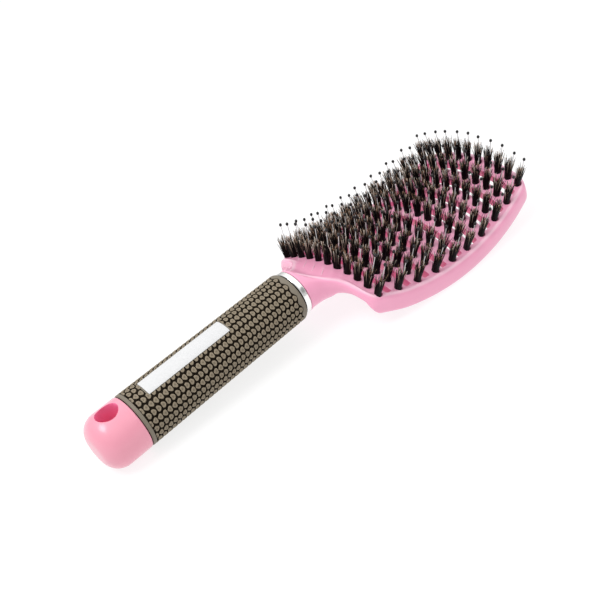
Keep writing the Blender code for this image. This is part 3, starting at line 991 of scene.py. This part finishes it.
def grip_point(x, rise, follow, degrees):
    """Point on the sleeve's ground, with both ends rounded over."""
    at = x + follow * scallop(degrees)
    collar = grip_radius(at) + COLLAR_RAISE
    radius = lerp(ground_radius(at), collar, max(rise, seam_rise(degrees)))
    if x > GRIP_END_X - GRIP_END_ROUND:
        share = (x - GRIP_END_X + GRIP_END_ROUND) / GRIP_END_ROUND
        radius -= 1.2 * (1.0 - math.sqrt(max(0.0, 1.0 - share**2)))
    if x < GRIP_START_X + GRIP_START_ROUND:
        radius -= 0.4 * (1.0 - (x - GRIP_START_X) / GRIP_START_ROUND) ** 2
    return on_tube(at, degrees, radius)


def build_grip(collar, ground):
    """The rubber sleeve under its pads, with a raised bed and a recess for the label."""
    turns = [360.0 * k / GRIP_SIDES for k in range(GRIP_SIDES)]
    loops = [[grip_point(x, rise, follow, degrees) for degrees in turns]
             for x, rise, follow in grip_stations()]
    loops += [[on_tube(x, degrees, GRIP_INNER_R) for degrees in turns]
              for x in (GRIP_END_X, GRIP_START_X)]
    points, faces = stacked(loops, closed=True)
    grip = make_piece("grip_ground", points, faces, [collar, ground])
    bed = label_shell(0.7, 0.9, LABEL_IN_R - 1.5, LABEL_IN_R + 0.34)
    cut(grip, make_piece("label_bed", *bed, [collar]), "UNION")
    recess = label_shell(0.12, 0.4, LABEL_IN_R - 0.3, LABEL_OUT_R + 2.0)
    cut(grip, make_piece("recess", *recess, [ground]))
    paint_ground(grip)
    finish_piece(grip, [], 35.0)


def paint_ground(grip):
    """Faces at the sunk level take the dark ground."""
    back = PLACE.inverted()
    for face in grip.data.polygons:
        spot = back @ face.center
        radius = math.hypot(spot.y, spot.z)
        if radius > GRIP_INNER_R + 0.6 and radius < grip_radius(spot.x) - 0.25:
            face.material_index = 1


def label_shell(margin, margin_deg, inner, outer, steps=16):
    """Curved block between two radii, as long and wide as the label with the margins added."""
    low, high = LABEL_LOW_DEG - margin_deg, LABEL_HIGH_DEG + margin_deg
    angles = [lerp(low, high, k / steps) for k in range(steps + 1)]
    loops = []
    for x in (LABEL_START_X - margin, LABEL_END_X + margin):
        over = [on_tube(x, degrees, outer) for degrees in angles]
        loops.append(over + [on_tube(x, degrees, inner) for degrees in reversed(angles)])
    return stacked(loops)


def build_label(film):
    """Blank film with softened corners and edges."""
    corner = LABEL_CORNER_R
    per_mm = 360.0 / (2.0 * math.pi * LABEL_OUT_R)
    middle = (LABEL_LOW_DEG + LABEL_HIGH_DEG) / 2.0
    half_deg = (LABEL_HIGH_DEG - LABEL_LOW_DEG) / 2.0
    half_arc = half_deg / per_mm
    columns = [LABEL_START_X + d for d in (0.0, 0.04, 0.1, 0.2, 0.35)]
    columns += [lerp(LABEL_START_X + 3.0, LABEL_END_X - 3.0, k / 8.0) for k in range(9)]
    columns += [LABEL_END_X - d for d in (0.35, 0.2, 0.1, 0.04, 0.0)]
    loops = []
    for x in columns:
        edge = min(x - LABEL_START_X, LABEL_END_X - x)
        pull = corner - math.sqrt(max(0.0, corner**2 - (corner - min(corner, edge)) ** 2))
        reach = half_arc - pull
        lift = LABEL_OUT_R - LABEL_EDGE_DROP * (1.0 - smoothstep(0.0, 0.25, edge))
        spread = [reach * (2.0 * k / 16.0 - 1.0) for k in range(17)]
        top = []
        for s in spread:
            soft = LABEL_EDGE_DROP * (1.0 - smoothstep(0.0, 0.3, reach - abs(s)))
            top.append(on_tube(x, middle + s * per_mm, lift - soft))
        under = [on_tube(x, middle + s * per_mm, LABEL_IN_R + 0.05) for s in reversed(spread)]
        loops.append(top + under)
    points, faces = stacked(loops)
    label = make_piece("label_blank", points, faces, [film])
    finish_piece(label, ["label_plate"], 50.0)


def build_ring(metal):
    """The plated band between the grip and the neck."""
    profile = [(RING_START_X + d, RING_R - drop) for d, drop in RING_EDGE]
    profile += [(RING_END_X - d, RING_R - drop) for d, drop in reversed(RING_EDGE)]
    profile += [(RING_END_X, RING_BORE_R), (RING_START_X, RING_BORE_R)]
    points, faces = stacked([circle(x, r, RING_SIDES) for x, r in profile], closed=True)
    ring = make_piece("ring_band", points, faces, [metal])
    finish_piece(ring, ["neck_ring"], 50.0)


# ---------------------------------------------------------------- bristles


def held_in(index, v, s):
    """The end tufts of a row spread less on their outer side."""
    if abs(v) < row_half(index) - 1.0 or s * v < 0.0:
        return s
    return END_SPLAY * math.tanh(s / END_SPLAY)


def bristle(dice, index, v, across):
    """Centre line of one bristle: bunched at the root, splaying and bending towards its tip."""
    turn = dice.uniform(0.0, 2.0 * math.pi)
    out = math.sqrt(dice.random())
    root_p = out * math.cos(turn)
    root_s = out * math.sin(turn)
    tall = TUFT_HEIGHT * dice.choice((dice.uniform(*BRISTLE_SHORT), dice.uniform(*BRISTLE_LONG)))
    splay = BRISTLE_LEAST_SPLAY + dice.random()
    wild_p = dice.gauss(0.0, BRISTLE_WILDNESS)
    wild_s = dice.gauss(0.0, BRISTLE_WILDNESS)
    line = []
    for share in BRISTLE_STATIONS:
        bend = share**1.7
        p = TUFT_CENTRE + root_p * (TUFT_RADIUS + splay * bend) + wild_p * bend * 2.0
        s = held_in(index, v, root_s * (TUFT_RADIUS + splay * bend) + wild_s * bend * 2.0)
        line.append(row_point(index, v, p, lerp(-1.5, tall, share)) + across * s)
    return line


def bristle_rings(line, dice):
    """Three-sided tapering tube round a bristle's line, turned at random."""
    axis = (line[-1] - line[0]).normalized()
    first = axis.orthogonal().normalized()
    second = axis.cross(first)
    spin = dice.uniform(0.0, 2.0)
    loops = []
    for share, spot in zip(BRISTLE_STATIONS, line):
        radius = lerp(BRISTLE_ROOT_R, BRISTLE_TIP_R, share**1.5)
        loop = []
        for k in range(BRISTLE_SIDES):
            turn = spin + BRISTLE_SIDE_TURN * k
            beside = spot + first * (radius * math.cos(turn))
            loop.append(beside + second * (radius * math.sin(turn)))
        loops.append(loop)
    return stacked(loops)


def build_tufts(index, hair):
    """One row of tufts: a dark core in each, with separate bristles round and over it."""
    dice = random.Random(SEED + index)
    strand_along = [share for share in BRISTLE_STATIONS for _ in range(BRISTLE_SIDES)]
    shells = []
    along = []
    shade = []
    for v in tuft_positions(index):
        across = across_row(index, v)
        core = standing(index, v, TUFT_CENTRE, TUFT_CORE, 16)
        shells.append(core)
        along += [0.0] * len(core[0])
        shade += [0.0] * len(core[0])
        for _ in range(BRISTLES_PER_TUFT):
            shells.append(bristle_rings(bristle(dice, index, v, across), dice))
            along += strand_along
            shade += [dice.random()] * len(strand_along)
    points, faces = gathered(shells)
    name = "%02d" % (index + 1)
    tags = {"along": along, "shade": shade}
    tufts = make_piece("tufts_" + name, points, faces, [hair], tags=tags)
    finish_piece(tufts, ["tuft_row_" + name])


def build_pins(index, shaft, ball):
    """One row of slim nylon pins, a rounded black bead on each end, none quite upright."""
    dice = random.Random(SEED * 2 + index)
    top = BALL_HEIGHT + BALL_EXTRA * math.exp(-index)
    bead = [(top + BALL_RADIUS * 1.15 * math.sin(a), BALL_RADIUS * math.cos(a))
            for a in [math.radians(-75.0 + 15.0 * k) for k in range(11)]]
    stem = ((-1.9, PIN_RADIUS), (8.0, PIN_RADIUS * 0.92), (top - 0.4, PIN_RADIUS * 0.8))
    shells = []
    for v in tuft_positions(index):
        sway = (dice.gauss(0.0, PIN_SWAY), dice.gauss(0.0, PIN_SWAY))
        if abs(v) > row_half(index) - 1.0:
            sway = (sway[0], -math.copysign(max(END_PIN_LEAN, abs(sway[1])), v))
        shells.append((standing(index, v, PIN_CENTRE, stem, 8, sway), 0))
        shells.append((standing(index, v, PIN_CENTRE, bead, 14, sway), 1))
    points, faces = gathered([shell for shell, _ in shells])
    kinds = [kind for (_, around), kind in shells for _ in around]
    name = "%02d" % (index + 1)
    pins = make_piece("pins_" + name, points, faces, [shaft, ball])
    pins.data.polygons.foreach_set("material_index", kinds)
    finish_piece(pins, ["pin_row_" + name], 60.0)


# ---------------------------------------------------------------- studio


def build_floor():
    """White floor, bright enough of itself to lose nearly all of the shadow."""
    size = FLOOR_HALF_SIZE
    corners = [(-size, -size, 0.0), (size, -size, 0.0), (size, size, 0.0), (-size, size, 0.0)]
    mesh = bpy.data.meshes.new("studio_floor")
    mesh.from_pydata(corners, [], [(0, 1, 2, 3)])
    floor = bpy.data.objects.new("studio_floor", mesh)
    bpy.context.collection.objects.link(floor)
    paint = bpy.data.materials.new("studio_white")
    paint.use_nodes = True
    shader = paint.node_tree.nodes["Principled BSDF"]
    shader.inputs["Base Color"].default_value = (FLOOR_TONE, FLOOR_TONE, FLOOR_TONE, 1.0)
    shader.inputs["Roughness"].default_value = 0.9
    shader.inputs["Specular IOR Level"].default_value = 0.0
    shader.inputs["Emission Color"].default_value = WHITE + (1.0,)
    shader.inputs["Emission Strength"].default_value = FLOOR_GLOW
    mesh.materials.append(paint)


def glow(nodes, links, where, direction, stops):
    """Brightness by angle from a direction: stops are (cosine, level)."""
    facing = nodes.new("ShaderNodeVectorMath")
    facing.operation = "DOT_PRODUCT"
    facing.inputs[1].default_value = Vector(direction).normalized()
    links.new(where, facing.inputs[0])
    ramp = nodes.new("ShaderNodeValToRGB")
    links.new(facing.outputs["Value"], ramp.inputs["Fac"])
    for mark, (cosine, level) in zip(ramp.color_ramp.elements, stops):
        mark.position = cosine
        mark.color = (level, level, level, 1.0)
    return ramp.outputs["Color"]


def build_world():
    """Even white light, brighter overhead, with one dark flag for the plating to catch."""
    world = bpy.data.worlds.new("studio")
    bpy.context.scene.world = world
    world.use_nodes = True
    nodes = world.node_tree.nodes
    links = world.node_tree.links
    where = nodes.new("ShaderNodeTexCoord").outputs["Generated"]
    blend = nodes.new("ShaderNodeMix")
    blend.data_type = "RGBA"
    blend.blend_type = "MULTIPLY"
    blend.inputs[0].default_value = 1.0
    links.new(glow(nodes, links, where, OVERHEAD, OVERHEAD_STOPS), blend.inputs[6])
    links.new(glow(nodes, links, where, FLAG, FLAG_STOPS), blend.inputs[7])
    links.new(blend.outputs[2], nodes["Background"].inputs["Color"])
    nodes["Background"].inputs["Strength"].default_value = WORLD_STRENGTH


def area_light(name, location, target, size, power):
    """Round soft light that looks at its target."""
    lamp = bpy.data.lights.new(name, "AREA")
    lamp.shape = "DISK"
    lamp.size = size
    lamp.energy = power
    made = bpy.data.objects.new(name, lamp)
    made.location = location
    made.rotation_euler = (Vector(target) - Vector(location)).to_track_quat("-Z", "Y").to_euler()
    bpy.context.collection.objects.link(made)


def build_camera():
    lens = bpy.data.cameras.new("camera")
    lens.lens = CAMERA_LENS
    lens.sensor_width = CAMERA_SENSOR
    camera = bpy.data.objects.new("camera", lens)
    camera.location = CAMERA_AT
    camera.rotation_euler = [math.radians(degrees) for degrees in CAMERA_TURN_DEG]
    bpy.context.collection.objects.link(camera)
    bpy.context.scene.camera = camera


def build_studio():
    build_floor()
    build_world()
    area_light("key", (-0.42, 0.06, 0.80), target=(-0.02, 0.0, 0.02), size=0.5, power=4.3)
    area_light("fill", (0.5, -0.6, 0.5), target=(0.0, 0.0, 0.02), size=0.7, power=0.3)
    build_camera()
    bpy.context.scene.view_settings.view_transform = "Standard"


def main():
    pink = pink_plastic("pink_moulded", (0.93, 0.40, 0.575), (0.90, 0.37, 0.545))
    # darker, deeper pink for slot and hole walls: painted shade
    inner = pink_plastic("pink_inner_painted_shade", (0.80, 0.19, 0.36), (0.76, 0.16, 0.33))
    # deeper pink for the cap's hole walls: painted bounce light
    deep = pink_plastic("pink_hole_painted_bounce", (0.98, 0.24, 0.44), (0.96, 0.22, 0.41))
    collar = taupe_rubber("rubber_collar", (0.20, 0.175, 0.135), (0.235, 0.205, 0.16))
    ground = taupe_rubber("rubber_ground", (0.010, 0.006, 0.003), (0.016, 0.010, 0.005), 0.08)
    pad = pad_rubber("rubber_pads", (0.007, 0.005, 0.003), (0.27, 0.222, 0.158))
    # paler pink for the margin beads: painted highlight
    light = pink_plastic("pink_bead_highlight", (0.93, 0.62, 0.72), (0.91, 0.58, 0.69))
    build_head(pink, inner, light)
    build_cap(pink_plastic("pink_cap", (0.84, 0.335, 0.43), (0.81, 0.31, 0.405)), deep)
    build_pads(pad)
    build_grip(collar, ground)
    build_label(label_film("label_white"))
    build_ring(plated_metal("plated_ring"))
    hair = bristle_hair("boar_bristle")
    shaft = nylon_shaft("nylon_clear")
    ball = black_ball("bead_black")
    for index in range(ROW_COUNT):
        build_tufts(index, hair)
        build_pins(index, shaft, ball)
    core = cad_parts["handle_core"]
    core.data.materials.clear()
    core.data.materials.append(plain_core("core_grey"))
    build_studio()


main()
